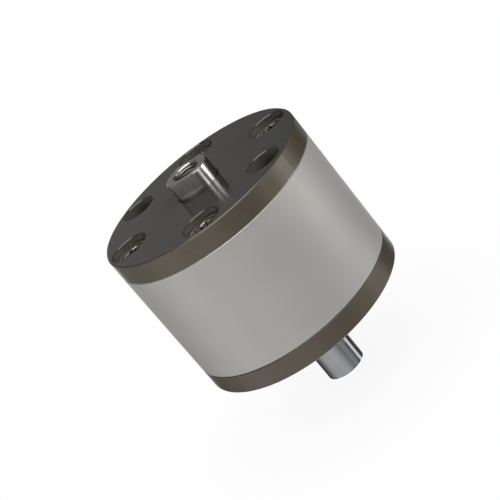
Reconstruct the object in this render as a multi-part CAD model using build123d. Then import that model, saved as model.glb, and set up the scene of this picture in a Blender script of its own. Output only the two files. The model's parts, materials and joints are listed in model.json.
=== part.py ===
from build123d import *
import os
from math import cos, radians, sin, tan

# Compact round pneumatic cylinder with a through rod, drawn retracted.
# Millimetres. The origin is the centre of the bottom mounting face and +Z points out of the rod end.
# Screws stand either side of the X axis, the mounting holes are on it and the ports face +Y.

# Heads and tube
body_diameter = 76.2
bore_share = 0.542
head_thickness = 7.4
spigot_depth = 3.6
spigot_clearance = 0.05
head_edge_break = 0.4
seam_break = 0.2
tube_edge_break = 0.35
bore_lead_in = 0.5

# Travel and piston
stroke = 25.4
piston_thickness = 7.7
piston_clearance = 0.10
bumper_thickness = 1.0
bumper_inset = 1.65
bumper_corner = 0.3
end_gap = 0.2

# Piston rod at the top
rod_diameter = 15.875
rod_reach = 6.6
rod_end_break = 0.35
wrench_flat_width = 12.7
wrench_shoulder = 1.0
wrench_flat_turn = -69.0
rod_thread_drill_diameter = 8.5
rod_thread_depth = 16.0
rod_thread_mouth_break = 0.5

# Tail rod at the bottom
tail_diameter = 14.29
tail_reach_at_full_stroke = 2.2
tail_end_break = 1.6

# Stud that joins the two rods through the piston
stud_diameter = 9.5
stud_engagement = 12.0
stud_end_break = 0.8
stud_hole_spare = 2.0

# Rod glands in the heads, from the outer face inwards
rod_hole_clearance = 0.30
lip_thickness = 1.2
bushing_wall = 1.6
bushing_lead_in = 0.3
running_clearance = 0.03
seal_section = 2.46
seal_height = 2.8
seal_room = 0.2
retainer_thickness = 1.0
retainer_groove_depth = 0.8
retainer_play = 0.06
retainer_width = 1.3
retainer_gap_half_angle = 17.0
retainer_lug_radius = 1.05
retainer_lug_hole_radius = 0.5
retainer_lug_turn = 3.0
gland_end_land = 0.8

# Soft rings
seal_clearance = 0.04
tube_ring_groove_width = 2.2
tube_ring_groove_depth = 1.4
tube_ring_side_room = 0.12
piston_seal_width = 2.1
piston_seal_depth = 2.3
piston_seal_play = 0.05
piston_edge_share = 0.4
stud_ring_section = 1.5
stud_ring_squeeze = 0.1

# Screws that hold each head on the tube
recess_rim = 1.2
screw_angle = 55.0
screw_thread_diameter = 7.9
screw_head_diameter = 11.8
screw_head_height = 3.8
screw_head_sink = 2.1
screw_head_break = 0.45
screw_socket_width = 6.0
screw_socket_depth = 2.2
screw_engagement = 12.0
screw_end_break = 0.7
screw_hole_clearance = 0.2
screw_recess_diameter = 13.5
thread_clearance = 0.03
tapped_hole_spare = 2.5

# Mounting holes through the whole body, for bolts with their heads sunk in the top head
mounting_hole_diameter = 7.1
mounting_recess_diameter = 11.9
hole_mouth_break = 0.3

# Air ports in the tube wall
port_drill_diameter = 8.6
port_depth = 10.0
port_mouth_break = 0.7
port_inset = 7.0
feed_diameter = 1.8
feed_inset = 1.0

# Drill points are 118 degrees across
point_height_share = tan(radians(31.0))

# Worked out from the sizes above
body_radius = body_diameter / 2
bore_radius = body_radius * bore_share
rod_radius = rod_diameter / 2
tail_radius = tail_diameter / 2
stud_radius = stud_diameter / 2
bolt_radius = body_radius - recess_rim - screw_recess_diameter / 2
screw_angles = (screw_angle, 180 - screw_angle, 180 + screw_angle, -screw_angle)
mounting_angles = (0, 180)
piston_stack = piston_thickness + 2 * bumper_thickness
tube_length = stroke + piston_stack + 2 * (end_gap + spigot_depth)
body_height = tube_length + 2 * head_thickness
bushing_length = (
    head_thickness + spigot_depth - lip_thickness - seal_height - seal_room
    - retainer_thickness - retainer_play - gland_end_land
)
piston_bottom = head_thickness + spigot_depth + end_gap + bumper_thickness
piston_top = piston_bottom + piston_thickness
tail_reach = stroke + tail_reach_at_full_stroke


def turned(points):
    """Solid of revolution about Z from (radius, height) points"""
    outline = make_face(Polyline(*[(radius, 0, height) for radius, height in points], close=True))
    return revolve(outline, Axis.Z)


def drilled(radius, depth, mouth_break=0.0, point=False):
    """Cutter for a hole that enters at z = 0 and goes down, with a broken mouth and a drill point"""
    above = 1.0
    outline = [(0, above), (radius + mouth_break + above, above), (radius, -mouth_break), (radius, -depth)]
    if point:
        outline.append((0, -depth - radius * point_height_share))
    else:
        outline.append((0, -depth))
    return turned(outline)


def around(shape, angles, radius=bolt_radius):
    """Copies of a shape at the given angles of a circle about Z"""
    return [Pos(radius * cos(radians(a)), radius * sin(radians(a)), 0) * shape for a in angles]


def at_top(shape):
    """From a head's own frame, outer face at z = 0, to the rod end of the body"""
    return Pos(0, 0, body_height) * shape


def at_bottom(shape):
    """From a head's own frame to the tail end, turned over about X"""
    return Rot(180, 0, 0) * shape


def soft_ring(inner, outer, low, high):
    """Rubber ring squeezed in its groove: a rectangle with broad corners"""
    corner = 0.3 * min(outer - inner, high - low)
    return turned([
        (inner, low + corner),
        (inner + corner, low),
        (outer - corner, low),
        (outer, low + corner),
        (outer, high - corner),
        (outer - corner, high),
        (inner + corner, high),
        (inner, high - corner),
    ])


def lip_ring(static_radius, lip_radius, heel, lips):
    """U-shaped lip seal between its seat and what it rubs on, heel and lip ends at the given heights"""
    reach = lip_radius - static_radius
    rise = lips - heel
    return turned([
        (static_radius, heel),
        (static_radius + 0.86 * reach, heel),
        (lip_radius, heel + 0.78 * rise),
        (static_radius + 0.92 * reach, lips),
        (static_radius + 0.50 * reach, heel + 0.42 * rise),
        (static_radius + 0.10 * reach, lips),
        (static_radius, lips),
    ])


def head_gland(rod):
    """Radii and depths of the stepped rod gland in a head, measured down from the outer face"""
    lip = lip_thickness
    bushing = lip + bushing_length
    seal = bushing + seal_height + seal_room
    retainer = seal + retainer_thickness + retainer_play
    return rod + bushing_wall, rod + seal_section, lip, bushing, seal, retainer


def head(rod, mounting_cut):
    """Round head with a spigot into the tube, a rod gland, screw recesses and mounting holes"""
    bushing_r, gland_r, lip, bushing, seal, retainer = head_gland(rod)
    retainer_r = gland_r + retainer_groove_depth
    spigot_r = bore_radius - spigot_clearance
    ring_r = bore_radius - tube_ring_groove_depth
    ring_land = (spigot_depth - tube_ring_groove_width) / 2
    ring_top = -head_thickness - ring_land
    ring_bottom = ring_top - tube_ring_groove_width
    end = -head_thickness - spigot_depth
    blank = turned([
        (rod + rod_hole_clearance, 0),
        (body_radius - head_edge_break, 0),
        (body_radius, -head_edge_break),
        (body_radius, seam_break - head_thickness),
        (body_radius - seam_break, -head_thickness),
        (spigot_r, -head_thickness),
        (spigot_r, ring_top),
        (ring_r, ring_top),
        (ring_r, ring_bottom),
        (spigot_r, ring_bottom),
        (spigot_r, end),
        (gland_r, end),
        (gland_r, -retainer),
        (retainer_r, -retainer),
        (retainer_r, -seal),
        (gland_r, -seal),
        (gland_r, -bushing),
        (bushing_r, -bushing),
        (bushing_r, -lip),
        (rod + rod_hole_clearance, -lip),
    ])
    recess = drilled(screw_recess_diameter / 2, screw_head_sink + screw_head_height, hole_mouth_break)
    shank_hole = drilled(screw_thread_diameter / 2 + screw_hole_clearance, 2 * head_thickness)
    return blank - around(recess + shank_hole, screw_angles) - around(mounting_cut, mounting_angles)


def rod_bushing(rod):
    """Plain bronze bush pressed against the head's lip, with a lead-in at both ends of its bore"""
    outer, gland_r, lip, bushing, seal, retainer = head_gland(rod)
    inner = rod + running_clearance
    return turned([
        (inner + bushing_lead_in, -lip),
        (outer, -lip),
        (outer, -bushing),
        (inner + bushing_lead_in, -bushing),
        (inner, -bushing + bushing_lead_in),
        (inner, -lip - bushing_lead_in),
    ])


def rod_seal(rod):
    """Lip seal below the bushing, its open side towards the pressure"""
    bushing_r, gland_r, lip, bushing, seal, retainer = head_gland(rod)
    heel = -bushing
    return lip_ring(gland_r - seal_clearance, rod + seal_clearance, heel, heel - seal_height)


def seal_retainer(rod):
    """Open snap ring with two eared ends that keeps the rod seal in its gland"""
    bushing_r, gland_r, lip, bushing, seal, retainer = head_gland(rod)
    outer = gland_r + retainer_groove_depth - retainer_play
    inner = outer - retainer_width - retainer_groove_depth
    face = -seal - retainer_play / 2
    ring = Circle(outer) - Circle(inner)
    gap_half_width = outer * tan(radians(retainer_gap_half_angle))
    gap_corners = (0, 0), (2 * outer, 2 * gap_half_width), (2 * outer, -2 * gap_half_width)
    ring -= make_face(Polyline(*gap_corners, close=True))
    ear_radius = gland_r - retainer_lug_radius - retainer_play
    ear_angle = retainer_gap_half_angle + retainer_lug_turn
    for angle in (ear_angle, -ear_angle):
        place = Pos(ear_radius * cos(radians(angle)), ear_radius * sin(radians(angle)))
        ring = ring + place * Circle(retainer_lug_radius)
        ring = ring - place * Circle(retainer_lug_hole_radius)
    return Pos(0, 0, face) * extrude(ring, -retainer_thickness)


def tube_ring():
    """Ring in the spigot's groove, squeezed against the tube bore"""
    ring_land = (spigot_depth - tube_ring_groove_width) / 2
    high = -head_thickness - ring_land - tube_ring_side_room
    low = high - tube_ring_groove_width + 2 * tube_ring_side_room
    inner = bore_radius - tube_ring_groove_depth + seal_clearance
    return soft_ring(inner, bore_radius - seal_clearance, low, high)


def head_screw():
    """Low socket screw, head sunk below the face at z = 0 and thread down into the tube"""
    head_r = screw_head_diameter / 2
    thread_r = screw_thread_diameter / 2
    top = -screw_head_sink
    seat = top - screw_head_height
    end = -head_thickness - screw_engagement
    body = turned([
        (0, top),
        (head_r - screw_head_break, top),
        (head_r, top - screw_head_break),
        (head_r, seat),
        (thread_r, seat),
        (thread_r, end + screw_end_break),
        (thread_r - screw_end_break, end),
        (0, end),
    ])
    socket_r = screw_socket_width / 2
    socket = extrude(RegularPolygon(socket_r, 6, major_radius=False), -screw_socket_depth)
    point = turned([(0, 0), (socket_r, 0), (0, -socket_r * point_height_share)])
    socket += Pos(0, 0, -screw_socket_depth) * point
    return body - Pos(0, 0, top) * socket


def head_screws():
    """The four screws of one head"""
    return Compound(children=around(head_screw(), screw_angles))


def tube():
    """Thick tube with tapped holes at both ends, the mounting holes and the two air ports"""
    blank = turned([
        (bore_radius + bore_lead_in, head_thickness),
        (body_radius - tube_edge_break, head_thickness),
        (body_radius, head_thickness + tube_edge_break),
        (body_radius, head_thickness + tube_length - tube_edge_break),
        (body_radius - tube_edge_break, head_thickness + tube_length),
        (bore_radius + bore_lead_in, head_thickness + tube_length),
        (bore_radius, head_thickness + tube_length - bore_lead_in),
        (bore_radius, head_thickness + bore_lead_in),
    ])
    tapped = drilled(
        screw_thread_diameter / 2 + thread_clearance,
        screw_engagement + tapped_hole_spare,
        hole_mouth_break,
        point=True,
    )
    tapped_top = [at_top(Pos(0, 0, -head_thickness) * hole) for hole in around(tapped, screw_angles)]
    tapped_bottom = [at_bottom(Pos(0, 0, -head_thickness) * hole) for hole in around(tapped, screw_angles)]
    mounting = around(Cylinder(mounting_hole_diameter / 2, 4 * body_height), mounting_angles)
    blank = blank - tapped_top - tapped_bottom - mounting
    port = drilled(port_drill_diameter / 2, port_depth, port_mouth_break, point=True)
    feed_length = body_radius - port_depth / 2
    feed = Pos(0, 0, -feed_length / 2 - port_depth / 2) * Cylinder(feed_diameter / 2, feed_length)
    feed_shift = port_inset - spigot_depth - feed_inset
    bottom_port = head_thickness + port_inset
    top_port = body_height - head_thickness - port_inset
    # In a port's own frame +Z leaves the tube along the part's +Y, and +Y runs along the part's -Z
    for height, towards_end in ((bottom_port, 1), (top_port, -1)):
        cutter = port + Pos(0, towards_end * feed_shift, 0) * feed
        blank = blank - Pos(0, body_radius, height) * Rot(-90, 0, 0) * cutter
    return blank


def piston():
    """Piston with two seal grooves and a seat for the ring that seals it on the stud"""
    outer = bore_radius - piston_clearance
    groove = bore_radius - piston_seal_depth
    land = (piston_thickness - 2 * piston_seal_width) / 3
    edge = piston_edge_share * land
    hole = stud_radius + thread_clearance
    seat_r = stud_radius + stud_ring_section
    seat_depth = stud_ring_section - stud_ring_squeeze
    outline = [
        (hole, 0),
        (outer - edge, 0),
        (outer, edge),
    ]
    for low in (land, 2 * land + piston_seal_width):
        high = low + piston_seal_width
        outline += [(outer, low), (groove, low), (groove, high), (outer, high)]
    outline += [
        (outer, piston_thickness - edge),
        (outer - edge, piston_thickness),
        (seat_r, piston_thickness),
        (seat_r, piston_thickness - seat_depth),
        (hole, piston_thickness - seat_depth),
    ]
    return Pos(0, 0, piston_bottom) * turned(outline)


def piston_seals():
    """Upper and lower lip seals in the piston's grooves, each open towards its own end"""
    land = (piston_thickness - 2 * piston_seal_width) / 3
    seat = bore_radius - piston_seal_depth + seal_clearance
    rub = bore_radius - seal_clearance
    upper_heel = piston_bottom + 2 * land + piston_seal_width + piston_seal_play
    lower_heel = piston_bottom + land + piston_seal_width - piston_seal_play
    height = piston_seal_width - 2 * piston_seal_play
    upper = lip_ring(seat, rub, upper_heel, upper_heel + height)
    lower = lip_ring(seat, rub, lower_heel, lower_heel - height)
    return upper, lower


def stud_ring():
    """Ring under the rod's shoulder that seals the piston on the stud"""
    seat_r = stud_radius + stud_ring_section
    low = piston_top - stud_ring_section + stud_ring_squeeze + seal_clearance
    high = piston_top - seal_clearance
    return soft_ring(stud_radius + seal_clearance, seat_r - seal_clearance, low, high)


def bumper(rod, seat, rise):
    """Soft stop ring on one face of the piston; rise is +1 upwards and -1 downwards"""
    outer = bore_radius - bumper_inset
    inner = rod + rod_hole_clearance
    crown = seat + rise * bumper_thickness
    return turned([
        (inner, seat),
        (outer, seat),
        (outer, crown - rise * bumper_corner),
        (outer - bumper_corner, crown),
        (inner + bumper_corner, crown),
        (inner, crown - rise * bumper_corner),
    ])


def piston_rod():
    """Chromed rod with wrench flats and a tapped end, and the stud below its shoulder"""
    end = body_height + rod_reach
    stud_end = piston_bottom - stud_engagement
    bar = turned([
        (0, stud_end),
        (stud_radius - stud_end_break, stud_end),
        (stud_radius, stud_end + stud_end_break),
        (stud_radius, piston_top),
        (rod_radius, piston_top),
        (rod_radius, end - rod_end_break),
        (rod_radius - rod_end_break, end),
        (0, end),
    ])
    flat_length = rod_reach - wrench_shoulder
    side = Pos(wrench_flat_width / 2 + rod_radius, 0, end) * Box(
        rod_diameter, 2 * rod_diameter, 2 * flat_length
    )
    for turn in (wrench_flat_turn, wrench_flat_turn + 180):
        bar = bar - Rot(0, 0, turn) * side
    thread = drilled(rod_thread_drill_diameter / 2, rod_thread_depth, rod_thread_mouth_break, point=True)
    return bar - Pos(0, 0, end) * thread


def tail_rod():
    """Chromed rod below the piston, screwed on the stud, with a broad chamfer at its free end"""
    bar = turned([
        (0, -tail_reach),
        (tail_radius - tail_end_break, -tail_reach),
        (tail_radius, -tail_reach + tail_end_break),
        (tail_radius, piston_bottom),
        (0, piston_bottom),
    ])
    depth = stud_engagement + stud_hole_spare
    hole = drilled(stud_radius + thread_clearance, depth, hole_mouth_break, point=True)
    return bar - Pos(0, 0, piston_bottom) * hole


mounting_through = drilled(mounting_hole_diameter / 2, 4 * head_thickness, hole_mouth_break)
mounting_recess = drilled(mounting_recess_diameter / 2, 4 * head_thickness, hole_mouth_break)
upper_seal, lower_seal = piston_seals()

nodes = {
    "tube": tube(),
    "top_head": at_top(head(rod_radius, mounting_recess)),
    "bottom_head": at_bottom(head(tail_radius, mounting_through)),
    "top_head_screws": at_top(head_screws()),
    "bottom_head_screws": at_bottom(head_screws()),
    "top_rod_bushing": at_top(rod_bushing(rod_radius)),
    "bottom_rod_bushing": at_bottom(rod_bushing(tail_radius)),
    "top_rod_seal": at_top(rod_seal(rod_radius)),
    "bottom_rod_seal": at_bottom(rod_seal(tail_radius)),
    "top_seal_retainer": at_top(seal_retainer(rod_radius)),
    "bottom_seal_retainer": at_bottom(seal_retainer(tail_radius)),
    "top_tube_o_ring": at_top(tube_ring()),
    "bottom_tube_o_ring": at_bottom(tube_ring()),
    "piston_rod": piston_rod(),
    "tail_rod": tail_rod(),
    "piston": piston(),
    "piston_seal_upper": upper_seal,
    "piston_seal_lower": lower_seal,
    "piston_stud_o_ring": stud_ring(),
    "upper_bumper": bumper(rod_radius, piston_top, 1),
    "lower_bumper": bumper(tail_radius, piston_bottom, -1),
}

os.makedirs("parts", exist_ok=True)
for name, shape in nodes.items():
    export_step(shape, f"parts/{name}.step")
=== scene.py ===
import json
from math import acos, cos, pi, radians, sin

import bmesh
import bpy
import numpy as np
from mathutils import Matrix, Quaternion, Vector


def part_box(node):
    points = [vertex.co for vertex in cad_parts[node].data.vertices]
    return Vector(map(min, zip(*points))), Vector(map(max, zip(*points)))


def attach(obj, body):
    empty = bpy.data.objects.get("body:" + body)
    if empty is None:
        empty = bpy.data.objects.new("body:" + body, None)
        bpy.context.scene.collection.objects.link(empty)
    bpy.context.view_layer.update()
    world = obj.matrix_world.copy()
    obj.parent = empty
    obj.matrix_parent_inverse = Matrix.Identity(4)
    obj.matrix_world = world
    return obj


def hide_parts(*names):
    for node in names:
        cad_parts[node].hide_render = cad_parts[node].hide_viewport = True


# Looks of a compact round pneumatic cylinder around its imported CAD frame.
# Lengths are in metres, as in the frame; MM turns millimetres into metres.
# +Z points out of the rod end and the air ports face +Y.

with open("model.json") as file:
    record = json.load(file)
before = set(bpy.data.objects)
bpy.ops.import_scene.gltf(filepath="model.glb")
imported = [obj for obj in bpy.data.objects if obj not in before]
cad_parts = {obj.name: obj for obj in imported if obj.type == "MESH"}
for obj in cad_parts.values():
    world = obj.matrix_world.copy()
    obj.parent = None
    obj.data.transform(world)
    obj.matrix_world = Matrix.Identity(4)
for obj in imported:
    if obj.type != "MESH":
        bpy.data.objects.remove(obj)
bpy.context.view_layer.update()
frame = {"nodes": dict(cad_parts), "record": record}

MM = 0.001

# Sizes read from the frame
BODY_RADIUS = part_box("tube")[1].x
BODY_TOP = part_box("top_head")[1].z
BODY_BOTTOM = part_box("bottom_head")[0].z
ROD_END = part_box("piston_rod")[1].z
STUD_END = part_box("piston_rod")[0].z
PISTON_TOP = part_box("piston")[1].z
ROD_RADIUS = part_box("piston_rod")[1].x
TAIL_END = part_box("tail_rod")[0].z
TUBE_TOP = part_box("tube")[1].z
TUBE_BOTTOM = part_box("tube")[0].z
TUBE_EDGE_BREAK = 0.35 * MM
HEAD_EDGE_BREAK = 0.4 * MM

# Points nearer than this are merged, and a row this far from the next makes a square step
MERGE_DISTANCE = 1e-7

# Rod end, as the CAD source has it
ROD_END_BREAK = 0.35 * MM
WRENCH_FLAT_WIDTH = 12.7 * MM
WRENCH_FLAT_TURN = -69.0
WRENCH_SHOULDER = BODY_TOP + 1.0 * MM
FLAT_EDGE_BREAK = 0.03 * MM
ROD_DRILL_RADIUS = 4.25 * MM
ROD_THREAD_RADIUS = 4.76 * MM
ROD_THREAD_PITCH = 25.4 / 24 * MM
ROD_THREAD_DEPTH = 16.0 * MM
ROD_THREAD_MOUTH = 0.5 * MM
ROD_THREAD_START = 1.0 * MM
ROD_MOUTH_CLEARANCE = 0.02 * MM
ROD_LIP = 0.3 * MM
STUD_RADIUS = 4.75 * MM
STUD_BREAK = 0.8 * MM
DRILL_POINT = radians(31.0)
ROD_COLUMNS = 48
ROD_THREAD_ROWS = 176
ROD_BREAK_ROWS = 6

# Head screws, as the CAD source has them
SCREW_ANGLES = (55.0, 125.0, 235.0, 305.0)
SCREW_TURNS = (17.0, 40.0, 63.0, 86.0)
SCREW_HEAD_RADIUS = 5.9 * MM
SCREW_HEAD_HEIGHT = 3.8 * MM
SCREW_HEAD_SINK = 2.1 * MM
SCREW_HEAD_BREAK = 0.45 * MM
SCREW_SEAT_RISE = 0.25 * MM
SCREW_SEAT_INSET = 0.2 * MM
SCREW_RIM = 0.95 * MM
SCREW_SOCKET_WIDTH = 6.0 * MM
SCREW_SOCKET_DEPTH = 2.2 * MM
SCREW_SOCKET_LIP = 0.025 * MM
SCREW_SOCKET_SLOPE = 0.8
SCREW_THREAD_RADIUS = 3.95 * MM
SCREW_THREAD_PITCH = 1.41 * MM
SCREW_THREAD_CUT = 0.72 * MM
SCREW_THREAD_BEGINS = 0.3 * MM
SCREW_THREAD_FULL = 1.8 * MM
SCREW_THREAD_LEAD = 0.7 * MM
SCREW_KNURLS = 48
SCREW_KNURL_CUT = 0.16 * MM
SCREW_KNURL_LEAD = 0.1 * MM
SCREW_KNURL_CLEARANCE = 0.02 * MM
SCREW_COLUMNS = 144
SCREW_THREAD_ROWS = 92
# Rows of the head's rounded top edge: how far in and how far down each lies, as shares of the head's break
SCREW_EDGE_ROWS = ((1.0, 0.0), (0.45, 0.16), (0.12, 0.55))
BOLT_RADIUS = (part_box("top_head_screws")[1].y - SCREW_HEAD_RADIUS) / sin(radians(SCREW_ANGLES[0]))
SCREW_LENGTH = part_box("top_head_screws")[1].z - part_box("top_head_screws")[0].z

# Air ports, as the CAD source has them
PORT_HEIGHTS = {"bottom_port": 14.4 * MM, "top_port": 43.1 * MM}
PORT_RADIUS = 4.3 * MM
PORT_DEPTH = 9.4 * MM
PORT_MOUTH = 0.8 * MM
PORT_THREAD_PITCH = 25.4 / 27 * MM
PORT_THREAD_CUT = 0.42 * MM
PORT_THREAD_BEGINS = 0.5 * MM
PORT_THREAD_RUNOUT = 1.6 * MM
PORT_SLEEVE_WALL = 0.3 * MM
PORT_CLEARANCE = 0.01 * MM
PORT_COLUMNS = 96
PORT_ROWS = 104

# Camera of the photograph, found from the outline and both seams
VIEW_AZIMUTH = 47.244
VIEW_ELEVATION = 20.822
VIEW_ROLL = -39.557
VIEW_DISTANCE = 0.513584
VIEW_AIM = (-0.007256, 0.006215, 0.025105)
LENS = 109.577
SENSOR_WIDTH = 36.0
NEAREST_SEEN = 0.01


def surface(name, points, sharp_angle=32.0):
    """Mesh of a grid of points, rows by columns by 3. Each quad joins two neighbouring rows and columns,
    and the last column joins the first. A row whose points coincide closes the surface as a pole."""
    rows, columns, _ = points.shape
    row = np.arange(rows - 1)[:, None]
    column = np.arange(columns)[None, :]
    beside = (column + 1) % columns
    quads = np.stack([
        row * columns + column,
        (row + 1) * columns + column,
        (row + 1) * columns + beside,
        row * columns + beside,
    ], axis=-1).reshape(-1, 4)
    mesh = bpy.data.meshes.new(name)
    mesh.from_pydata(points.reshape(-1, 3), [], quads)
    tidy = bmesh.new()
    tidy.from_mesh(mesh)
    bmesh.ops.remove_doubles(tidy, verts=tidy.verts, dist=MERGE_DISTANCE)
    bmesh.ops.dissolve_degenerate(tidy, dist=MERGE_DISTANCE, edges=tidy.edges)
    tidy.to_mesh(mesh)
    tidy.free()
    mesh.polygons.foreach_set("use_smooth", np.ones(len(mesh.polygons), bool))
    mesh.set_sharp_from_angle(angle=radians(sharp_angle))
    piece = bpy.data.objects.new(name, mesh)
    bpy.context.scene.collection.objects.link(piece)
    return piece


def join(name, pieces):
    """One object from several, under a new name"""
    tidy = bmesh.new()
    for piece in pieces:
        tidy.from_mesh(piece.data)
    mesh = bpy.data.meshes.new(name)
    tidy.to_mesh(mesh)
    tidy.free()
    for piece in pieces:
        bpy.data.objects.remove(piece)
    joined = bpy.data.objects.new(name, mesh)
    bpy.context.scene.collection.objects.link(joined)
    return joined


def mesh_points(piece):
    """A piece's vertices, as an array of rows of x, y, z"""
    points = np.empty(len(piece.data.vertices) * 3, np.float32)
    piece.data.vertices.foreach_get("co", points)
    return points.reshape(-1, 3)


def around_axis(radius, angle, height):
    """Points of a surface about Z: (r cos a, r sin a, h) for arrays of one shape"""
    return np.stack([radius * np.cos(angle), radius * np.sin(angle), height + 0 * angle], axis=-1)


def thread_wave(height, angle, pitch, crest=0.14, root=0.14):
    """0 at a thread's crest and 1 at its root, along a right-hand helix: the phase is height / pitch minus
    angle / 2 pi, folded to a triangle wave, with flats of the given shares at crest and root"""
    phase = height / pitch - angle / (2 * pi)
    fold = np.abs(2 * (phase - np.floor(phase)) - 1)
    return np.clip((fold - crest) / (1 - crest - root), 0, 1)


def eased(value, start, end):
    """0 before start, 1 after end and a smooth step between: t squared times (3 - 2 t)"""
    t = np.clip((value - start) / (end - start), 0, 1)
    return t * t * (3 - 2 * t)


def rod_angles():
    """Angles round the rod, with a column on each of the four corners between a wrench flat and the round
    bar: the two flats' middles are half a turn apart, and each reaches to where its cosine meets the bar"""
    half_flat = acos(WRENCH_FLAT_WIDTH / 2 / ROD_RADIUS)
    turn = radians(WRENCH_FLAT_TURN)
    corners = turn + np.array([-half_flat, half_flat, pi - half_flat, pi + half_flat, 2 * pi - half_flat])
    spans = [np.linspace(a, b, ROD_COLUMNS + 1)[:-1] for a, b in zip(corners[:-1], corners[1:])]
    return np.concatenate(spans)[None, :]


def rod_outside(radius, angle, height):
    """Radius of the rod's outside: the round bar's, or where a wrench flat cuts it, the flat's distance
    divided by the cosine of the angle from the flat's normal. The flats end in a square shoulder."""
    off_normal = np.abs(np.cos(angle - radians(WRENCH_FLAT_TURN)))
    near_end = np.clip((height - ROD_END) / FLAT_EDGE_BREAK + 1, 0, 1)
    flat = (WRENCH_FLAT_WIDTH / 2 - near_end * FLAT_EDGE_BREAK) / np.maximum(off_normal, 0.1)
    return np.where(height > WRENCH_SHOULDER, np.minimum(radius, flat), radius + 0 * angle)


def piston_rod():
    """Chromed rod as one profile turned about Z: up the threaded hole from its drill point, over the end
    face with its wrench flats, down the bar and the stud, to the stud's end. The hole's wall is the drill
    radius plus the thread's height times the thread wave."""
    angle = rod_angles()
    hole_floor = ROD_END - ROD_THREAD_DEPTH
    point = hole_floor - ROD_DRILL_RADIUS * sin(DRILL_POINT) / cos(DRILL_POINT)
    zero = 0 * angle
    rows = [around_axis(zero, angle, point), around_axis(ROD_DRILL_RADIUS + zero, angle, hole_floor)]
    cut = ROD_THREAD_RADIUS - ROD_DRILL_RADIUS
    thread_start = hole_floor + ROD_THREAD_START
    thread_top = ROD_END - ROD_THREAD_MOUTH
    for height in np.linspace(thread_start, thread_top, ROD_THREAD_ROWS):
        fade = eased(height, thread_start, thread_start + ROD_THREAD_PITCH)
        wave = 1 - thread_wave(height, angle, ROD_THREAD_PITCH)
        rows.append(around_axis(ROD_DRILL_RADIUS + cut * fade * wave, angle, height))
    mouth = ROD_THREAD_RADIUS + ROD_MOUTH_CLEARANCE
    rows.append(around_axis(mouth + zero, angle, ROD_END - ROD_LIP))
    rows.append(around_axis(mouth + ROD_LIP + zero, angle, ROD_END))
    outline = [
        (ROD_RADIUS - ROD_END_BREAK * (1 - sin(turn)), ROD_END - ROD_END_BREAK * (1 - cos(turn)))
        for turn in np.linspace(0, pi / 2, ROD_BREAK_ROWS)
    ]
    outline += [
        (ROD_RADIUS, WRENCH_SHOULDER + MERGE_DISTANCE),
        (ROD_RADIUS, WRENCH_SHOULDER),
        (ROD_RADIUS, PISTON_TOP),
        (STUD_RADIUS, PISTON_TOP),
        (STUD_RADIUS, STUD_END + STUD_BREAK),
        (STUD_RADIUS - STUD_BREAK, STUD_END),
        (0, STUD_END),
    ]
    for radius, height in outline:
        rows.append(around_axis(rod_outside(radius + zero, angle, height), angle, height))
    return surface("piston_rod_ground", np.stack([row[0] for row in rows]))


def even_angles(columns):
    """Angles of one turn in equal steps, as one row"""
    return (np.arange(columns) * 2 * pi / columns)[None, :]


def socket_radius(width, angle):
    """Radius of a hexagon by angle: half its width divided by the cosine of the angle from the nearest
    side's normal, which repeats every sixth of a turn"""
    side = (angle + pi / 6) % (pi / 3) - pi / 6
    return width / 2 / np.cos(side)


def head_screw(name, turn):
    """Low socket screw, its head's top at height 0: the socket's floor, its six sides, the top, a knurled
    rim whose radius dips with the cosine of the angle, the seat, and a threaded shank down to its end"""
    angle = even_angles(SCREW_COLUMNS)
    hexagon = socket_radius(SCREW_SOCKET_WIDTH, angle + turn)
    zero = 0 * angle
    head = SCREW_HEAD_RADIUS
    knurl = head - SCREW_KNURL_CUT * (0.5 - 0.5 * np.cos(SCREW_KNURLS * angle))
    seat = -SCREW_HEAD_HEIGHT
    mouth = SCREW_SOCKET_WIDTH / 2 / cos(pi / 6) + SCREW_SOCKET_LIP
    point = SCREW_SOCKET_DEPTH + SCREW_SOCKET_WIDTH / 2 * sin(DRILL_POINT) / cos(DRILL_POINT)
    rows = [
        around_axis(zero, angle, -point),
        around_axis(SCREW_SOCKET_WIDTH / 2 + zero, angle, -SCREW_SOCKET_DEPTH),
        around_axis(hexagon, angle, -SCREW_SOCKET_DEPTH),
        around_axis(hexagon, angle, (hexagon - mouth) * SCREW_SOCKET_SLOPE),
        around_axis(mouth + zero, angle, 0),
    ]
    for inward, down in SCREW_EDGE_ROWS:
        rows.append(around_axis(head - inward * SCREW_HEAD_BREAK + zero, angle, -down * SCREW_HEAD_BREAK))
    rows += [
        around_axis(np.minimum(knurl, head - SCREW_KNURL_CLEARANCE), angle, -SCREW_HEAD_BREAK),
        around_axis(knurl, angle, -SCREW_HEAD_BREAK - SCREW_KNURL_LEAD),
        around_axis(knurl, angle, seat + SCREW_SEAT_RISE),
        around_axis(head - SCREW_SEAT_INSET + zero, angle, seat),
    ]
    shank_end = -SCREW_LENGTH
    for height in np.linspace(seat, shank_end, SCREW_THREAD_ROWS):
        fade = eased(seat - height, SCREW_THREAD_BEGINS, SCREW_THREAD_FULL)
        wave = thread_wave(height, angle, SCREW_THREAD_PITCH)
        lead = np.clip((height - shank_end) / SCREW_THREAD_LEAD, 0, 1)
        cut = SCREW_THREAD_CUT * np.maximum(fade * wave, 1 - lead)
        rows.append(around_axis(SCREW_THREAD_RADIUS - cut, angle, height))
    rows.append(around_axis(zero, angle, shank_end))
    return surface(name, np.stack([row[0] for row in rows]))


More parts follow.
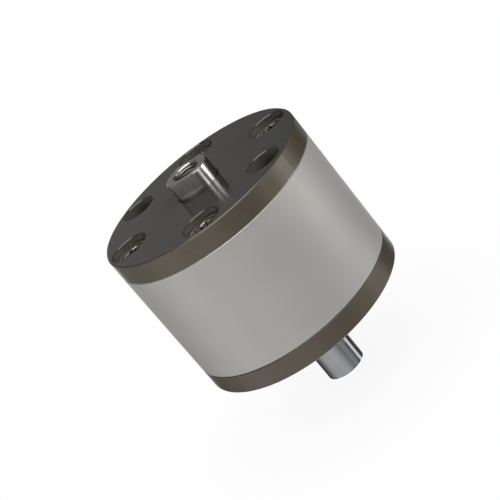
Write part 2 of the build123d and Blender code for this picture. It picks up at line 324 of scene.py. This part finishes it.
def head_screws(name, face, upward):
    """The four screws of one head, each turned a little differently in its hole. face is the head's outer
    face, and upward is +1 for screws whose heads look along +Z and -1 for those turned over: half a turn
    about X changes the sign of y and z."""
    pieces = []
    for index, (place, turn) in enumerate(zip(SCREW_ANGLES, SCREW_TURNS)):
        screw = head_screw(f"{name}_{index}", radians(turn))
        points = mesh_points(screw)
        points[:, 2] -= SCREW_HEAD_SINK
        points[:, 1:] *= upward
        points += (BOLT_RADIUS * cos(radians(place)), BOLT_RADIUS * sin(radians(place)), face)
        screw.data.vertices.foreach_set("co", points.ravel())
        pieces.append(screw)
    return join(name, pieces)


def port_thread(name, height):
    """Pipe thread in an air port: a sleeve about the port's axis whose inner radius is the drill radius
    less the thread's height times 1 minus the thread wave, closed behind by a plain wall in the tube"""
    angle = even_angles(PORT_COLUMNS)
    behind = PORT_RADIUS + PORT_SLEEVE_WALL + 0 * angle
    bore = PORT_RADIUS - PORT_CLEARANCE
    rows = [around_axis(behind, angle, -PORT_MOUTH)]
    for depth in np.linspace(PORT_MOUTH, PORT_DEPTH, PORT_ROWS):
        begun = eased(depth, PORT_MOUTH, PORT_MOUTH + PORT_THREAD_BEGINS)
        ended = eased(depth, PORT_DEPTH - PORT_THREAD_RUNOUT, PORT_DEPTH)
        crest = 1 - thread_wave(-depth, angle, PORT_THREAD_PITCH)
        rows.append(around_axis(bore - PORT_THREAD_CUT * begun * (1 - ended) * crest, angle, -depth))
    rows.append(around_axis(behind, angle, -PORT_DEPTH))
    rows.append(rows[0])
    points = np.stack([row[0] for row in rows])[::-1]
    out = BODY_RADIUS + points[..., 2]
    placed = np.stack([-points[..., 0], out, points[..., 1] + height], axis=-1)
    return surface(name, placed)


def add(tree, kind, inputs=(), **settings):
    """One shader node. settings are its properties, and inputs its sockets' values, or the sockets that
    feed them."""
    made = tree.nodes.new(kind)
    for key, value in settings.items():
        setattr(made, key, value)
    for key, value in dict(inputs).items():
        if isinstance(value, bpy.types.NodeSocket):
            tree.links.new(value, made.inputs[key])
        else:
            made.inputs[key].default_value = value
    return made


def math(tree, operation, *values):
    """Result of one Math node"""
    return add(tree, "ShaderNodeMath", dict(enumerate(values)), operation=operation).outputs[0]


def blend(tree, factor, first, second):
    """Colour between two colours"""
    mixed = add(tree, "ShaderNodeMix", {0: factor, 6: first, 7: second}, data_type="RGBA")
    return mixed.outputs[2]


def spread(tree, value, low, high):
    """A 0 to 1 value spread between low and high"""
    mapped = add(tree, "ShaderNodeMapRange", {"Value": value, "To Min": low, "To Max": high})
    return mapped.outputs[0]


def finish_material(name, metallic, roughness, **constants):
    """An empty material with one Principled shader, whose constant values are set on its own sockets"""
    made = bpy.data.materials.new(name)
    made.use_nodes = True
    tree = made.node_tree
    tree.nodes.clear()
    shader = tree.nodes.new("ShaderNodeBsdfPrincipled")
    output = tree.nodes.new("ShaderNodeOutputMaterial")
    tree.links.new(shader.outputs[0], output.inputs[0])
    shader.inputs["Metallic"].default_value = metallic
    shader.inputs["Roughness"].default_value = roughness
    for socket, value in constants.items():
        shader.inputs[socket.replace("_", " ")].default_value = value
    return made, tree, shader


def places(tree):
    """Object coordinates, the distance from the rod's axis, and the height along it"""
    coordinates = add(tree, "ShaderNodeTexCoord").outputs["Object"]
    parts = add(tree, "ShaderNodeSeparateXYZ", {0: coordinates})
    x, y, z = parts.outputs
    flat = add(tree, "ShaderNodeCombineXYZ", {0: x, 1: y})
    radius = add(tree, "ShaderNodeVectorMath", {0: flat.outputs[0]}, operation="LENGTH").outputs["Value"]
    return coordinates, radius, z


def noise(tree, vector, size, detail=2.0, roughness=0.5):
    """Noise with features of about one size, in metres"""
    inputs = {"Vector": vector, "Scale": 1 / size, "Detail": detail, "Roughness": roughness}
    return add(tree, "ShaderNodeTexNoise", inputs).outputs[0]


def upright_wall(tree):
    """1 where the surface stands upright, as in a bored hole, and 0 on a level face"""
    normal = add(tree, "ShaderNodeNewGeometry").outputs["Normal"]
    lift = math(tree, "ABSOLUTE", add(tree, "ShaderNodeSeparateXYZ", {0: normal}).outputs[2])
    return math(tree, "LESS_THAN", lift, 0.5)


def turned_lines(tree, radius, z, spacing, detail=3.0):
    """Fine rings that a lathe leaves: one-dimensional noise of distance from the axis plus height"""
    along = math(tree, "ADD", radius, z)
    inputs = {"W": along, "Scale": 1 / spacing, "Detail": detail, "Roughness": 0.7}
    return add(tree, "ShaderNodeTexNoise", inputs, noise_dimensions="1D").outputs[0]


def streaks(tree, coordinates, across, along):
    """Noise drawn out round the axis: features are across long along Z and along long sideways"""
    scale = (1 / along, 1 / along, 1 / across)
    drawn = add(tree, "ShaderNodeMapping", {"Vector": coordinates, "Scale": scale}).outputs[0]
    return add(tree, "ShaderNodeTexNoise", {"Vector": drawn, "Scale": 1.0, "Detail": 3.0}).outputs[0]


def relief(tree, shader, height, depth):
    """Bump from a 0 to 1 height, depth metres deep, on the shader's normal"""
    bump = add(tree, "ShaderNodeBump", {"Height": height, "Distance": depth, "Strength": 1.0})
    tree.links.new(bump.outputs[0], shader.inputs["Normal"])


# Where one finish gives way to another, and by how much the roughness then changes
SCUFF_INSET = 0.03 * MM
HEAD_SIDE_BAND = 0.3 * MM
FACE_POLISH = 0.11
SIDE_POLISH = 0.30
# roughness added on the head's bottom edge band, which is also painted dark as shade
SHADED_EDGE_MATT = 0.5
THREAD_BAND = 0.01 * MM
CUT_MATT = 0.12
SOCKET_WALL_BAND = 0.3 * MM
SOCKET_WEAR = 0.08
BARE_ABOVE = 0.60


def clear_anodised():
    """Pale satin anodised tube: turned grain, fine matt pitting and slow changes of tone. The breaks at its
    two ends are scuffed bright."""
    made, tree, shader = finish_material("clear anodised aluminium", 0.33, 0.42)
    coordinates, radius, z = places(tree)
    slow = noise(tree, coordinates, 14 * MM)
    warmth = noise(tree, coordinates, 9 * MM)
    grain = noise(tree, coordinates, 0.35 * MM, detail=3.0)
    lines = turned_lines(tree, radius, z, 0.22 * MM)
    tone = blend(tree, slow, (0.442, 0.426, 0.413, 1), (0.502, 0.484, 0.467, 1))
    cool = blend(tree, slow, (0.440, 0.436, 0.422, 1), (0.496, 0.490, 0.475, 1))
    tone = blend(tree, spread(tree, warmth, -0.8, 1.8), tone, cool)
    tone = blend(tree, spread(tree, grain, 0.0, 0.35), tone, (0.415, 0.405, 0.384, 1))
    outside = math(tree, "GREATER_THAN", radius, BODY_RADIUS - TUBE_EDGE_BREAK)
    from_middle = math(tree, "ABSOLUTE", math(tree, "SUBTRACT", z, (TUBE_TOP + TUBE_BOTTOM) / 2))
    scuff_start = (TUBE_TOP - TUBE_BOTTOM) / 2 - TUBE_EDGE_BREAK + SCUFF_INSET
    at_end = math(tree, "GREATER_THAN", from_middle, scuff_start)
    scuffed = math(tree, "MULTIPLY", at_end, outside)
    tree.links.new(blend(tree, scuffed, tone, (0.86, 0.85, 0.82, 1)), shader.inputs["Base Color"])
    tree.links.new(spread(tree, scuffed, 0.33, 0.95), shader.inputs["Metallic"])
    tree.links.new(spread(tree, math(tree, "MULTIPLY", slow, grain), 0.36, 0.52), shader.inputs["Roughness"])
    relief(tree, shader, math(tree, "ADD", lines, grain), 0.004 * MM)
    return made


def hard_anodised():
    """Dark hard-anodised head: neutral grey on the turned face, and brown and olive streaks round the side;
    the side's lighter, warmer tone is partly the anodising's own streaks and partly a painted warm
    reflection. The upright walls of the bored recesses are painted lighter than the face, as painted light
    falling into the recesses. The turned lines draw its gloss out. The band at the bottom edge of the side
    is painted near black and made matt, as painted shade from below."""
    made, tree, shader = finish_material(
        "dark hard anodised aluminium", 0.25, 0.15, IOR=1.7, Anisotropic=0.6, Anisotropic_Rotation=0.25,
        Coat_Weight=0.2, Coat_Roughness=0.18, Coat_IOR=1.6
    )
    coordinates, radius, z = places(tree)
    side = math(tree, "GREATER_THAN", radius, BODY_RADIUS - HEAD_SIDE_BAND)
    drift = streaks(tree, coordinates, 4 * MM, 16 * MM)
    drawn = streaks(tree, coordinates, 0.5 * MM, 14 * MM)
    # the side gets a lighter, warmer colour than the face: partly the anodising's own streaks, partly a
    # painted warm reflection
    olive, brown = (0.090, 0.083, 0.048, 1), (0.106, 0.073, 0.055, 1)
    olive_brown = blend(tree, spread(tree, drift, -0.9, 1.9), olive, brown)
    side_streaks_and_painted_light = blend(tree, spread(tree, drawn, -0.45, 0.95), olive_brown, (0.072, 0.064, 0.049, 1))
    # painted shade: the side's band at the bottom edge is darkened to near black, standing in for the
    # shadowed floor it would mirror
    painted_shade_edge = math(tree, "LESS_THAN", z, BODY_BOTTOM + HEAD_EDGE_BREAK)
    side_streaks_and_painted_light = blend(tree, painted_shade_edge, side_streaks_and_painted_light, (0.020, 0.019, 0.017, 1))
    face_drift = noise(tree, coordinates, 18 * MM)
    green_grey, brown_grey = (0.040, 0.042, 0.036, 1), (0.049, 0.043, 0.037, 1)
    face = blend(tree, spread(tree, face_drift, -0.6, 1.6), green_grey, brown_grey)
    # painted light: upright walls in the recesses get a lighter colour than the face, standing in for the
    # light falling into them
    bored = blend(tree, upright_wall(tree), face, (0.122, 0.117, 0.094, 1))
    tree.links.new(blend(tree, side, bored, side_streaks_and_painted_light), shader.inputs["Base Color"])
    grain = noise(tree, coordinates, 0.25 * MM, detail=3.0)
    lines = turned_lines(tree, radius, z, 0.16 * MM)
    polish = spread(tree, side, FACE_POLISH, SIDE_POLISH)
    painted_shade_side_band = math(tree, "MULTIPLY", painted_shade_edge, side)
    polish = math(tree, "ADD", polish, math(tree, "MULTIPLY", painted_shade_side_band, SHADED_EDGE_MATT))
    tree.links.new(math(tree, "ADD", polish, spread(tree, grain, -0.02, 0.02)), shader.inputs["Roughness"])
    turn = add(tree, "ShaderNodeTangent", direction_type="RADIAL", axis="Z")
    tree.links.new(turn.outputs[0], shader.inputs["Tangent"])
    relief(tree, shader, math(tree, "ADD", lines, grain), 0.0005 * MM)
    return made


def chromed_steel():
    """Hard chrome on a ground rod: almost a mirror, with fine rings from the grinding wheel, which draw each
    reflection out along the rod. The tail rod is polished finer. The threaded hole isn't chromed: its wall
    is dull cut steel, partly painted darker as painted shade inside the hole."""
    made, tree, shader = finish_material(
        "ground hard chrome", 1.0, 0.2, Anisotropic=0.93, Anisotropic_Rotation=0.25
    )
    coordinates, radius, z = places(tree)
    slow = noise(tree, coordinates, 3 * MM)
    lines = turned_lines(tree, radius, z, 0.05 * MM)
    tone = blend(tree, slow, (0.56, 0.56, 0.565, 1), (0.62, 0.618, 0.61, 1))
    cut = noise(tree, coordinates, 1.2 * MM, detail=3.0)
    thread = math(tree, "LESS_THAN", radius, ROD_THREAD_RADIUS + THREAD_BAND)
    # painted shade: the threaded hole's wall is cut steel painted darker, standing in for the shade inside
    # the hole
    cut_steel_and_painted_shade = blend(tree, cut, (0.20, 0.185, 0.165, 1), (0.55, 0.52, 0.47, 1))
    tree.links.new(blend(tree, thread, tone, cut_steel_and_painted_shade), shader.inputs["Base Color"])
    tail = math(tree, "LESS_THAN", z, BODY_TOP / 2)
    polish = math(tree, "MULTIPLY", math(tree, "SUBTRACT", thread, tail), CUT_MATT)
    tree.links.new(math(tree, "ADD", spread(tree, slow, 0.18, 0.25), polish), shader.inputs["Roughness"])
    turn = add(tree, "ShaderNodeTangent", direction_type="RADIAL", axis="Z")
    tree.links.new(turn.outputs[0], shader.inputs["Tangent"])
    relief(tree, shader, lines, 0.0002 * MM)
    return made


def screw_steel():
    """Black-oxide screw steel, worn bright on the rim of each head and in small spots, with more of them on
    the socket's walls. The distance from a screw's own axis comes from the absolute x and y, because the
    four stand alike."""
    made, tree, shader = finish_material("black oxide screw steel", 0.6, 0.34)
    coordinates, radius, z = places(tree)
    worn = noise(tree, coordinates, 0.9 * MM, detail=4.0, roughness=0.7)
    grain = noise(tree, coordinates, 0.15 * MM)
    first = radians(SCREW_ANGLES[0])
    screw = (BOLT_RADIUS * cos(first), BOLT_RADIUS * sin(first), 0)
    folded = add(tree, "ShaderNodeVectorMath", {0: coordinates}, operation="ABSOLUTE").outputs[0]
    level = add(tree, "ShaderNodeVectorMath", {0: folded, 1: (1, 1, 0)}, operation="MULTIPLY").outputs[0]
    reach = add(tree, "ShaderNodeVectorMath", {0: level, 1: screw}, operation="DISTANCE").outputs["Value"]
    middle = (BODY_TOP + BODY_BOTTOM) / 2
    from_middle = math(tree, "ABSOLUTE", math(tree, "SUBTRACT", z, middle))
    depth = math(tree, "SUBTRACT", BODY_TOP - middle - SCREW_HEAD_SINK, from_middle)
    outer = math(tree, "GREATER_THAN", reach, SCREW_HEAD_RADIUS - SCREW_RIM)
    rim = math(tree, "MULTIPLY", outer, math(tree, "LESS_THAN", depth, SCREW_HEAD_BREAK))
    wall = (SCREW_SOCKET_WIDTH / 2 + SCREW_SOCKET_WIDTH / 2 / cos(pi / 6)) / 2
    from_wall = math(tree, "ABSOLUTE", math(tree, "SUBTRACT", reach, wall))
    socket = math(tree, "LESS_THAN", from_wall, SOCKET_WALL_BAND)
    wear = math(tree, "ADD", worn, math(tree, "MULTIPLY", socket, SOCKET_WEAR))
    bare = math(tree, "MAXIMUM", rim, math(tree, "GREATER_THAN", wear, BARE_ABOVE))
    dark = blend(tree, grain, (0.085, 0.066, 0.056, 1), (0.125, 0.100, 0.086, 1))
    bright = blend(tree, grain, (0.62, 0.58, 0.52, 1), (0.50, 0.46, 0.41, 1))
    tree.links.new(blend(tree, bare, dark, bright), shader.inputs["Base Color"])
    tree.links.new(spread(tree, worn, 0.42, 0.22), shader.inputs["Roughness"])
    relief(tree, shader, math(tree, "ADD", grain, worn), 0.006 * MM)
    return made


def speckled_metal(name, light, dark, roughness, speckle):
    """A metal whose tone goes between two colours in speckles of one size, with fine turned lines"""
    made, tree, shader = finish_material(name, 1.0, roughness)
    coordinates, radius, z = places(tree)
    spots = noise(tree, coordinates, speckle, detail=4.0)
    lines = turned_lines(tree, radius, z, 0.12 * MM)
    tree.links.new(blend(tree, spots, (*dark, 1), (*light, 1)), shader.inputs["Base Color"])
    tree.links.new(spread(tree, spots, roughness - 0.07, roughness + 0.07), shader.inputs["Roughness"])
    relief(tree, shader, math(tree, "ADD", lines, spots), 0.003 * MM)
    return made


def moulded(name, light, dark, roughness, matt):
    """Moulded rubber or urethane: slow changes of tone and a fine matt skin"""
    made, tree, shader = finish_material(name, 0.0, roughness)
    coordinates = add(tree, "ShaderNodeTexCoord").outputs["Object"]
    slow = noise(tree, coordinates, 2.5 * MM)
    skin = noise(tree, coordinates, matt, detail=3.0)
    tree.links.new(blend(tree, slow, (*dark, 1), (*light, 1)), shader.inputs["Base Color"])
    tree.links.new(spread(tree, skin, roughness - 0.08, roughness + 0.08), shader.inputs["Roughness"])
    relief(tree, shader, skin, 0.01 * MM)
    return made


def curved_screen(name, radius, low, high):
    """Studio screen round the object: a cylinder about Z, (r cos a, r sin a, h)"""
    angle = np.linspace(0, 2 * pi, SCREEN_COLUMNS + 1)[None, :-1]
    height = np.linspace(low, high, SCREEN_ROWS)[:, None] + 0 * angle
    angle = angle + 0 * height
    return surface(name, around_axis(radius, angle, height))


materials = {
    "clear_anodised": clear_anodised(),
    "hard_anodised": hard_anodised(),
    "screw_steel": screw_steel(),
    "chromed_steel": chromed_steel(),
    "bronze": speckled_metal(
        "sintered bronze", (0.56, 0.37, 0.17), (0.36, 0.22, 0.10), 0.38, 0.4 * MM
    ),
    "piston_aluminium": speckled_metal(
        "turned aluminium", (0.60, 0.60, 0.61), (0.50, 0.50, 0.51), 0.30, 2.0 * MM
    ),
    "spring_steel": speckled_metal(
        "phosphated spring steel", (0.16, 0.16, 0.17), (0.09, 0.09, 0.10), 0.45, 0.3 * MM
    ),
    "seal_rubber": moulded(
        "nitrile rubber", (0.024, 0.024, 0.025), (0.014, 0.014, 0.014), 0.48, 0.2 * MM
    ),
    "bumper_rubber": moulded(
        "amber urethane", (0.40, 0.21, 0.06), (0.30, 0.15, 0.04), 0.42, 0.3 * MM
    ),
}


def dress(piece, slot):
    """Gives a piece one material of the record's slots"""
    piece.data.materials.clear()
    piece.data.materials.append(materials[slot])


def add_piece(piece, body, slot, *replaced):
    """Dresses a new piece, lets it ride on its body and hides the CAD nodes that it stands for"""
    dress(piece, slot)
    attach(piece, body)
    if replaced:
        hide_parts(*replaced)


for part in frame["record"]["subparts"]:
    dress(frame["nodes"][part["node"]], part["material_slot"])

add_piece(piston_rod(), "rod", "chromed_steel", "piston_rod")
for head, face, upward in (("top_head", BODY_TOP, 1), ("bottom_head", BODY_BOTTOM, -1)):
    screws = head_screws(f"{head}_screws_knurled", face, upward)
    add_piece(screws, "barrel", "screw_steel", f"{head}_screws")
for port, port_height in PORT_HEIGHTS.items():
    add_piece(port_thread(f"{port}_thread", port_height), "barrel", "clear_anodised")


def camera():
    """Camera at the photograph's viewing angle, rolled as the photograph is"""
    azimuth, elevation = radians(VIEW_AZIMUTH), radians(VIEW_ELEVATION)
    back = Vector((sin(azimuth) * cos(elevation), -cos(azimuth) * cos(elevation), sin(elevation)))
    data = bpy.data.cameras.new("camera")
    data.lens = LENS
    data.sensor_width = SENSOR_WIDTH
    data.clip_start = NEAREST_SEEN
    made = bpy.data.objects.new("camera", data)
    made.location = Vector(VIEW_AIM) + back * VIEW_DISTANCE
    made.rotation_mode = "QUATERNION"
    level = (-back).to_track_quat("-Z", "Y")
    made.rotation_quaternion = level @ Quaternion((0, 0, 1), radians(VIEW_ROLL))
    bpy.context.scene.collection.objects.link(made)
    bpy.context.scene.camera = made


def lamp(name, turn, rise, distance, size, power):
    """Soft square lamp aimed at the body's middle. turn is its angle about Z from +X and rise its elevation,
    in degrees; distance and size are in metres and power in watts. Gloss doesn't see it."""
    data = bpy.data.lights.new(name, "AREA")
    data.size = size
    data.energy = power
    made = bpy.data.objects.new(name, data)
    level = cos(radians(rise))
    towards = Vector((cos(radians(turn)) * level, sin(radians(turn)) * level, sin(radians(rise))))
    made.location = Vector((0, 0, BODY_TOP / 2)) + towards * distance
    made.rotation_mode = "QUATERNION"
    made.rotation_quaternion = (-towards).to_track_quat("-Z", "Y")
    made.visible_glossy = False
    bpy.context.scene.collection.objects.link(made)


# Strength of the plain soft light
SOFT_LEVEL = 0.14


def world_light():
    """Plain white backdrop for the camera, gloss and transmission, and soft light of a plain level for the
    rest"""
    world = bpy.data.worlds.new("studio")
    world.use_nodes = True
    tree = world.node_tree
    tree.nodes.clear()
    path = add(tree, "ShaderNodeLightPath").outputs
    seen = math(tree, "MAXIMUM", path["Is Camera Ray"], path["Is Glossy Ray"])
    seen = math(tree, "MAXIMUM", seen, path["Is Transmission Ray"])
    soft = add(tree, "ShaderNodeBackground", {"Color": (1.0, 0.985, 0.96, 1), "Strength": SOFT_LEVEL})
    white = add(tree, "ShaderNodeBackground", {"Color": (1, 1, 1, 1), "Strength": 1.0})
    mixed = add(tree, "ShaderNodeMixShader", {0: seen, 1: soft.outputs[0], 2: white.outputs[0]})
    add(tree, "ShaderNodeOutputWorld", {0: mixed.outputs[0]})
    bpy.context.scene.world = world


# Tiers of the studio screen, from its foot to its top, as stops of (turn about Z in degrees, grey).
# Towards the camera, the tail rod mirrors the table tier, the bottom head the shelf tier, the tube and the
# top head the low tier, and the top face the upper tier. The high tier holds two bright windows, which the
# ground rod draws out into its two stripes. The sweep tier is below them all, and the sky tier is one grey.
SWEEP_TIER = (
    (-165, 0.40), (-120, 0.46), (-40, 0.50), (0, 0.28), (30, 0.15), (95, 0.10),
    (112, 1.50), (162, 1.50),
)
TABLE_TIER = (
    (-171, 0.10), (-149, 0.24), (-132, 0.37), (-116, 0.44), (-90, 0.46), (-54, 0.48),
    (-42, 0.47), (-31, 0.41), (-20, 0.31), (-8, 0.22), (4, 0.30), (15, 0.28),
    (23, 0.20), (29, 0.08), (42, 0.02), (47, 1.05), (60, 1.05), (66, 0.20),
    (72, 0.05), (84, 0.06), (96, 0.10), (112, 0.35), (124, 0.80), (130, 2.20),
    (137, 0.03), (160, 0.03), (174, 0.05),
)
SHELF_TIER = (
    (-171, 0.12), (-149, 0.30), (-132, 0.85), (-116, 0.96), (-90, 0.78), (-66, 0.80),
    (-50, 0.52), (-33, 0.20), (-14, 0.13), (-4, 0.16), (6, 0.40), (17, 0.40),
    (24, 0.75), (31, 1.05), (38, 0.55), (44, 0.05), (54, 0.02), (66, 0.01),
    (84, 0.01), (96, 0.02), (112, 0.60), (127, 1.40), (137, 0.10), (147, 0.80),
    (160, 0.40), (172, 0.10),
)
LOW_TIER = (
    (-176, 0.31), (-156, 0.29), (-133, 0.49), (-110, 0.57), (-88, 0.52), (-66, 0.64),
    (-48, 0.20), (-33, 0.18), (-14, 0.17), (-4, 0.18), (6, 0.62), (14, 0.40),
    (24, 1.15), (31, 1.95), (38, 2.15), (46, 0.90), (56, 0.26), (66, 0.06),
    (80, 0.03), (96, 0.03), (112, 0.20), (127, 0.03), (137, 0.03), (147, 1.60),
    (160, 0.69), (172, 0.13),
)
HIGH_TIER = (
    (-130, 0.14), (-110, 0.28), (-80, 0.28), (-50, 0.14), (-14, 0.13), (-4, 0.25),
    (4, 7.80), (11, 0.03), (24, 0.03), (31, 8.20), (38, 8.80), (45, 1.50),
    (54, 0.04), (112, 0.04), (127, 0.14), (137, 0.22), (147, 0.27), (160, 0.14),
)
UPPER_TIER = (
    (-130, 0.14), (-110, 0.28), (-80, 0.28), (-50, 0.14), (-14, 0.16), (4, 0.90),
    (38, 0.90), (54, 0.20), (112, 0.04), (127, 0.14), (137, 0.22), (147, 0.27),
    (160, 0.14),
)
SKY_TIER = ((0, 0.20),)
TIERS = (
    (SWEEP_TIER, (0.98, 1.0, 1.02)),
    (TABLE_TIER, (0.96, 1.0, 1.04)),
    (SHELF_TIER, (1.0, 0.98, 0.95)),
    (LOW_TIER, (1.0, 0.98, 0.95)),
    (HIGH_TIER, (1.0, 0.985, 0.96)),
    (UPPER_TIER, (1.0, 0.985, 0.96)),
    (SKY_TIER, (1.0, 0.985, 0.96)),
)
# Elevations, seen from the top head, between which one tier runs into the next
TIER_JOINS = ((-36.0, -33.0), (-28.0, -26.5), (-21.5, -18.5), (-6.0, 6.0), (12.0, 17.0), (24.0, 34.0))
SCREEN_RADIUS = 0.9
SCREEN_LOW = -0.9
SCREEN_HIGH = 1.6
SCREEN_COLUMNS = 720
SCREEN_ROWS = 121
SHEET_COLUMNS = 72
TABLE_GLOW = 1.5
CEILING_GLOW = 2.2


def cloth_grey(turn, tier):
    """Grey of one tier at a turn about Z: straight runs between its stops, closed round the circle"""
    stops = np.array(tier)
    return np.interp(turn, stops[:, 0], stops[:, 1], period=360)


def glowing_cloth(name, screen, grey):
    """Gives a piece of the studio screen its grey, in an attribute of its mesh, and lets only gloss see
    it"""
    attribute = screen.data.attributes.new("grey", "FLOAT_COLOR", "POINT")
    colour = np.append(grey, np.ones((len(grey), 1)), axis=1)
    attribute.data.foreach_set("color", colour.astype(np.float32).ravel())
    made = bpy.data.materials.new(name)
    made.use_nodes = True
    tree = made.node_tree
    tree.nodes.clear()
    shade = add(tree, "ShaderNodeAttribute", attribute_name="grey").outputs["Color"]
    glow = add(tree, "ShaderNodeEmission", {"Color": shade, "Strength": 1.0})
    add(tree, "ShaderNodeOutputMaterial", {0: glow.outputs[0]})
    screen.data.materials.append(made)
    screen.visible_camera = False
    screen.visible_diffuse = False
    screen.visible_transmission = False
    screen.visible_shadow = False


def studio_screen():
    """Cloth screen round the object, its tiers eased into each other, a bright table under it and a bright
    ceiling over it"""
    screen = curved_screen("studio_screen", SCREEN_RADIUS, SCREEN_LOW, SCREEN_HIGH)
    points = mesh_points(screen)
    turn = np.degrees(np.arctan2(points[:, 1], points[:, 0]))
    rise = np.degrees(np.arctan2(points[:, 2] - BODY_TOP, SCREEN_RADIUS))
    reached = [eased(rise, *join) for join in TIER_JOINS]
    grey = 0
    for (tier, tint), begun, ended in zip(TIERS, [1, *reached], [*reached, 0]):
        grey = grey + ((begun - ended) * cloth_grey(turn, tier))[:, None] * np.array(tint)
    glowing_cloth("studio cloth", screen, grey)
    angle = np.linspace(0, 2 * pi, SHEET_COLUMNS + 1)[None, :-1]
    sheets = (("studio_table", SCREEN_LOW, TABLE_GLOW), ("studio_ceiling", SCREEN_HIGH, CEILING_GLOW))
    for name, height, glow in sheets:
        rings = [around_axis(SCREEN_RADIUS * share + 0 * angle, angle, height) for share in (0, 0.5, 1)]
        sheet = surface(name, np.stack([ring[0] for ring in rings]))
        glowing_cloth(name, sheet, np.full((len(sheet.data.vertices), 3), glow))


# The floor: its half width, how far under the tail rod it lies, how far from the object its faint shadow
# ends, and its level where that shadow would be deepest
FLOOR_REACH = 3.0
FLOOR_GAP = 0.05 * MM
SHADOW_REACH = 60 * MM
SHADOW_LEVEL = 0.90


def floor():
    """Plain pale floor that the tail rod stands on. The camera sees it as white as the backdrop, with a
    faint soft shadow where the object stands near, and sees through it from below."""
    mesh = bpy.data.meshes.new("floor")
    sides = (-FLOOR_REACH, FLOOR_REACH)
    points = [(x, y, TAIL_END - FLOOR_GAP) for y in sides for x in sides]
    mesh.from_pydata(points, [], [(0, 1, 3, 2)])
    made = bpy.data.objects.new("floor", mesh)
    bpy.context.scene.collection.objects.link(made)
    finish = bpy.data.materials.new("pale floor")
    finish.use_nodes = True
    tree = finish.node_tree
    tree.nodes.clear()
    seen = add(tree, "ShaderNodeLightPath").outputs["Is Camera Ray"]
    from_below = math(tree, "MULTIPLY", seen, add(tree, "ShaderNodeNewGeometry").outputs["Backfacing"])
    openness = add(tree, "ShaderNodeAmbientOcclusion", {"Distance": SHADOW_REACH}).outputs["AO"]
    level = spread(tree, openness, SHADOW_LEVEL, 1.0)
    white = add(tree, "ShaderNodeEmission", {"Color": (1, 1, 1, 1), "Strength": level})
    pale = add(tree, "ShaderNodeBsdfDiffuse", {"Color": (0.8, 0.8, 0.79, 1)})
    clear = add(tree, "ShaderNodeBsdfTransparent")
    from_above = add(tree, "ShaderNodeMixShader", {0: seen, 1: pale.outputs[0], 2: white.outputs[0]})
    mixed = add(tree, "ShaderNodeMixShader", {0: from_below, 1: from_above.outputs[0], 2: clear.outputs[0]})
    add(tree, "ShaderNodeOutputMaterial", {0: mixed.outputs[0]})
    mesh.materials.append(finish)
    made.visible_glossy = False


# Each lamp's turn, rise, distance, size and power
LAMPS = {
    "window_lamp": (25.0, 36.0, 0.7, 0.40, 3.20),
    "left_lamp": (-110.0, 8.0, 0.8, 0.35, 3.30),
    "front_lamp": (-43.0, 10.0, 0.7, 0.40, 0.95),
    "back_lamp": (137.0, 1.0, 0.8, 0.35, 2.40),
}

camera()
world_light()
studio_screen()
floor()
for lamp_name, setting in LAMPS.items():
    lamp(lamp_name, *setting)

bpy.context.scene.view_settings.view_transform = "Standard"
